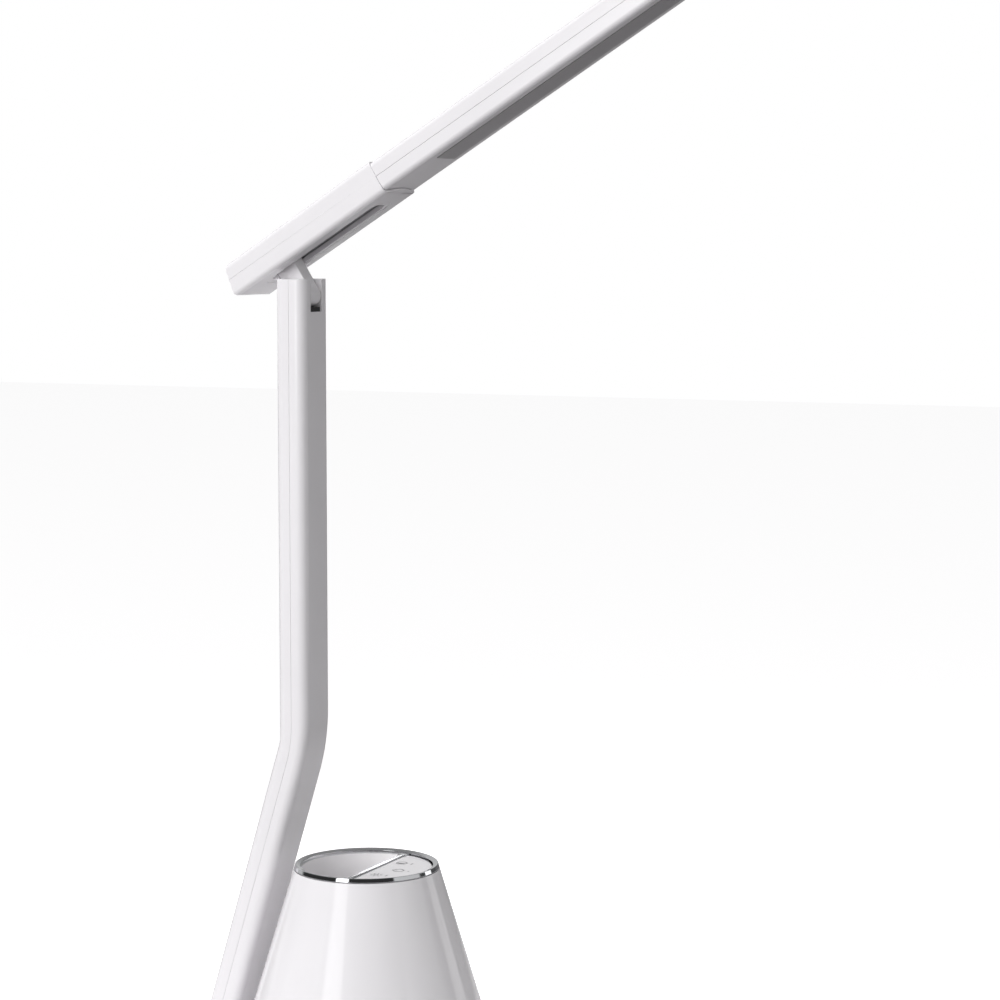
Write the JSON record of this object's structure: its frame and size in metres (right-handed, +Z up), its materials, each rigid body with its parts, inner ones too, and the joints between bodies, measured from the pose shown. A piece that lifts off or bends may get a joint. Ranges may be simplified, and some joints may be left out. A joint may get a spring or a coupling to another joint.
{
  "type": "desk lamp with pen holder",
  "caption": "White desk lamp: cone base with an open pen pocket and touch panel, bent post behind it, and a slim light bar that tilts and slides on the post's top.",
  "frame": {"origin": "middle of the base's round plate, on its underside, where it rests on the table", "axes": "+Z up, -Y towards the lamp's front where the light bar reaches, +X to the right of a person who stands behind the lamp and looks along +Y from its front"},
  "size_m": [0.1478, 0.3366, 0.6097],
  "materials": {
    "white_gloss": "gloss",
    "pale_grey_plastic": "satin",
    "reflector_film": "matte",
    "chrome": "polished",
    "steel": "zinc plated",
    "alloy": "satin",
    "circuit_board": "satin",
    "diffuser": "satin",
    "foam_pad": "matte",
    "lead_jacket": "satin",
    "friction_disc": "matte"
  },
  "bodies": {
    "root": {"cone_shell": "white_gloss", "chrome_rim": "chrome", "pen_cup": "pale_grey_plastic", "divider_bar": "chrome", "touch_panel": "white_gloss", "touch_board": "circuit_board", "base_tray": "white_gloss", "weight_plate": "steel", "bottom_cover": "pale_grey_plastic", "base_pad": "foam_pad", "shell_screw_1": "steel", "shell_screw_2": "steel", "shell_screw_3": "steel", "cover_screw_1": "steel", "cover_screw_2": "steel", "cover_screw_3": "steel", "cover_screw_4": "steel", "driver_board": "circuit_board", "power_inlet": "steel", "post_front_shell": "white_gloss", "post_rear_shell": "white_gloss", "fork_front_half": "white_gloss", "fork_rear_half": "white_gloss", "post_anchor": "alloy", "post_spine": "steel", "lamp_lead": "lead_jacket", "anchor_screw_1": "steel", "anchor_screw_2": "steel", "hinge_pin": "steel", "friction_washer_left": "friction_disc", "friction_washer_right": "friction_disc"},
    "slider": {"hinge_lug": "white_gloss", "slider_shoe": "pale_grey_plastic", "slider_spring": "steel", "slider_screw": "steel"},
    "light_bar": {"tail_upper_shell": "white_gloss", "tail_lower_shell": "white_gloss", "slide_rail_left": "steel", "slide_rail_right": "steel", "arm_coupling": "pale_grey_plastic", "head_upper_shell": "white_gloss", "head_frame": "white_gloss", "diffuser": "diffuser", "reflector": "reflector_film", "led_board": "alloy", "head_lead": "lead_jacket"}
  },
  "joints": [
    {"name": "arm_tilt", "type": "hinge", "parent": "root", "child": "slider", "pos_m": [0, 0.0325, 0.415], "axis": [-1, 0, 0], "range_deg": [-106, 48]},
    {"name": "arm_slide", "type": "slide", "parent": "slider", "child": "light_bar", "axis": [0, -0.8508, 0.5255], "range_m": [-0.05, 0.0025]}
  ]
}
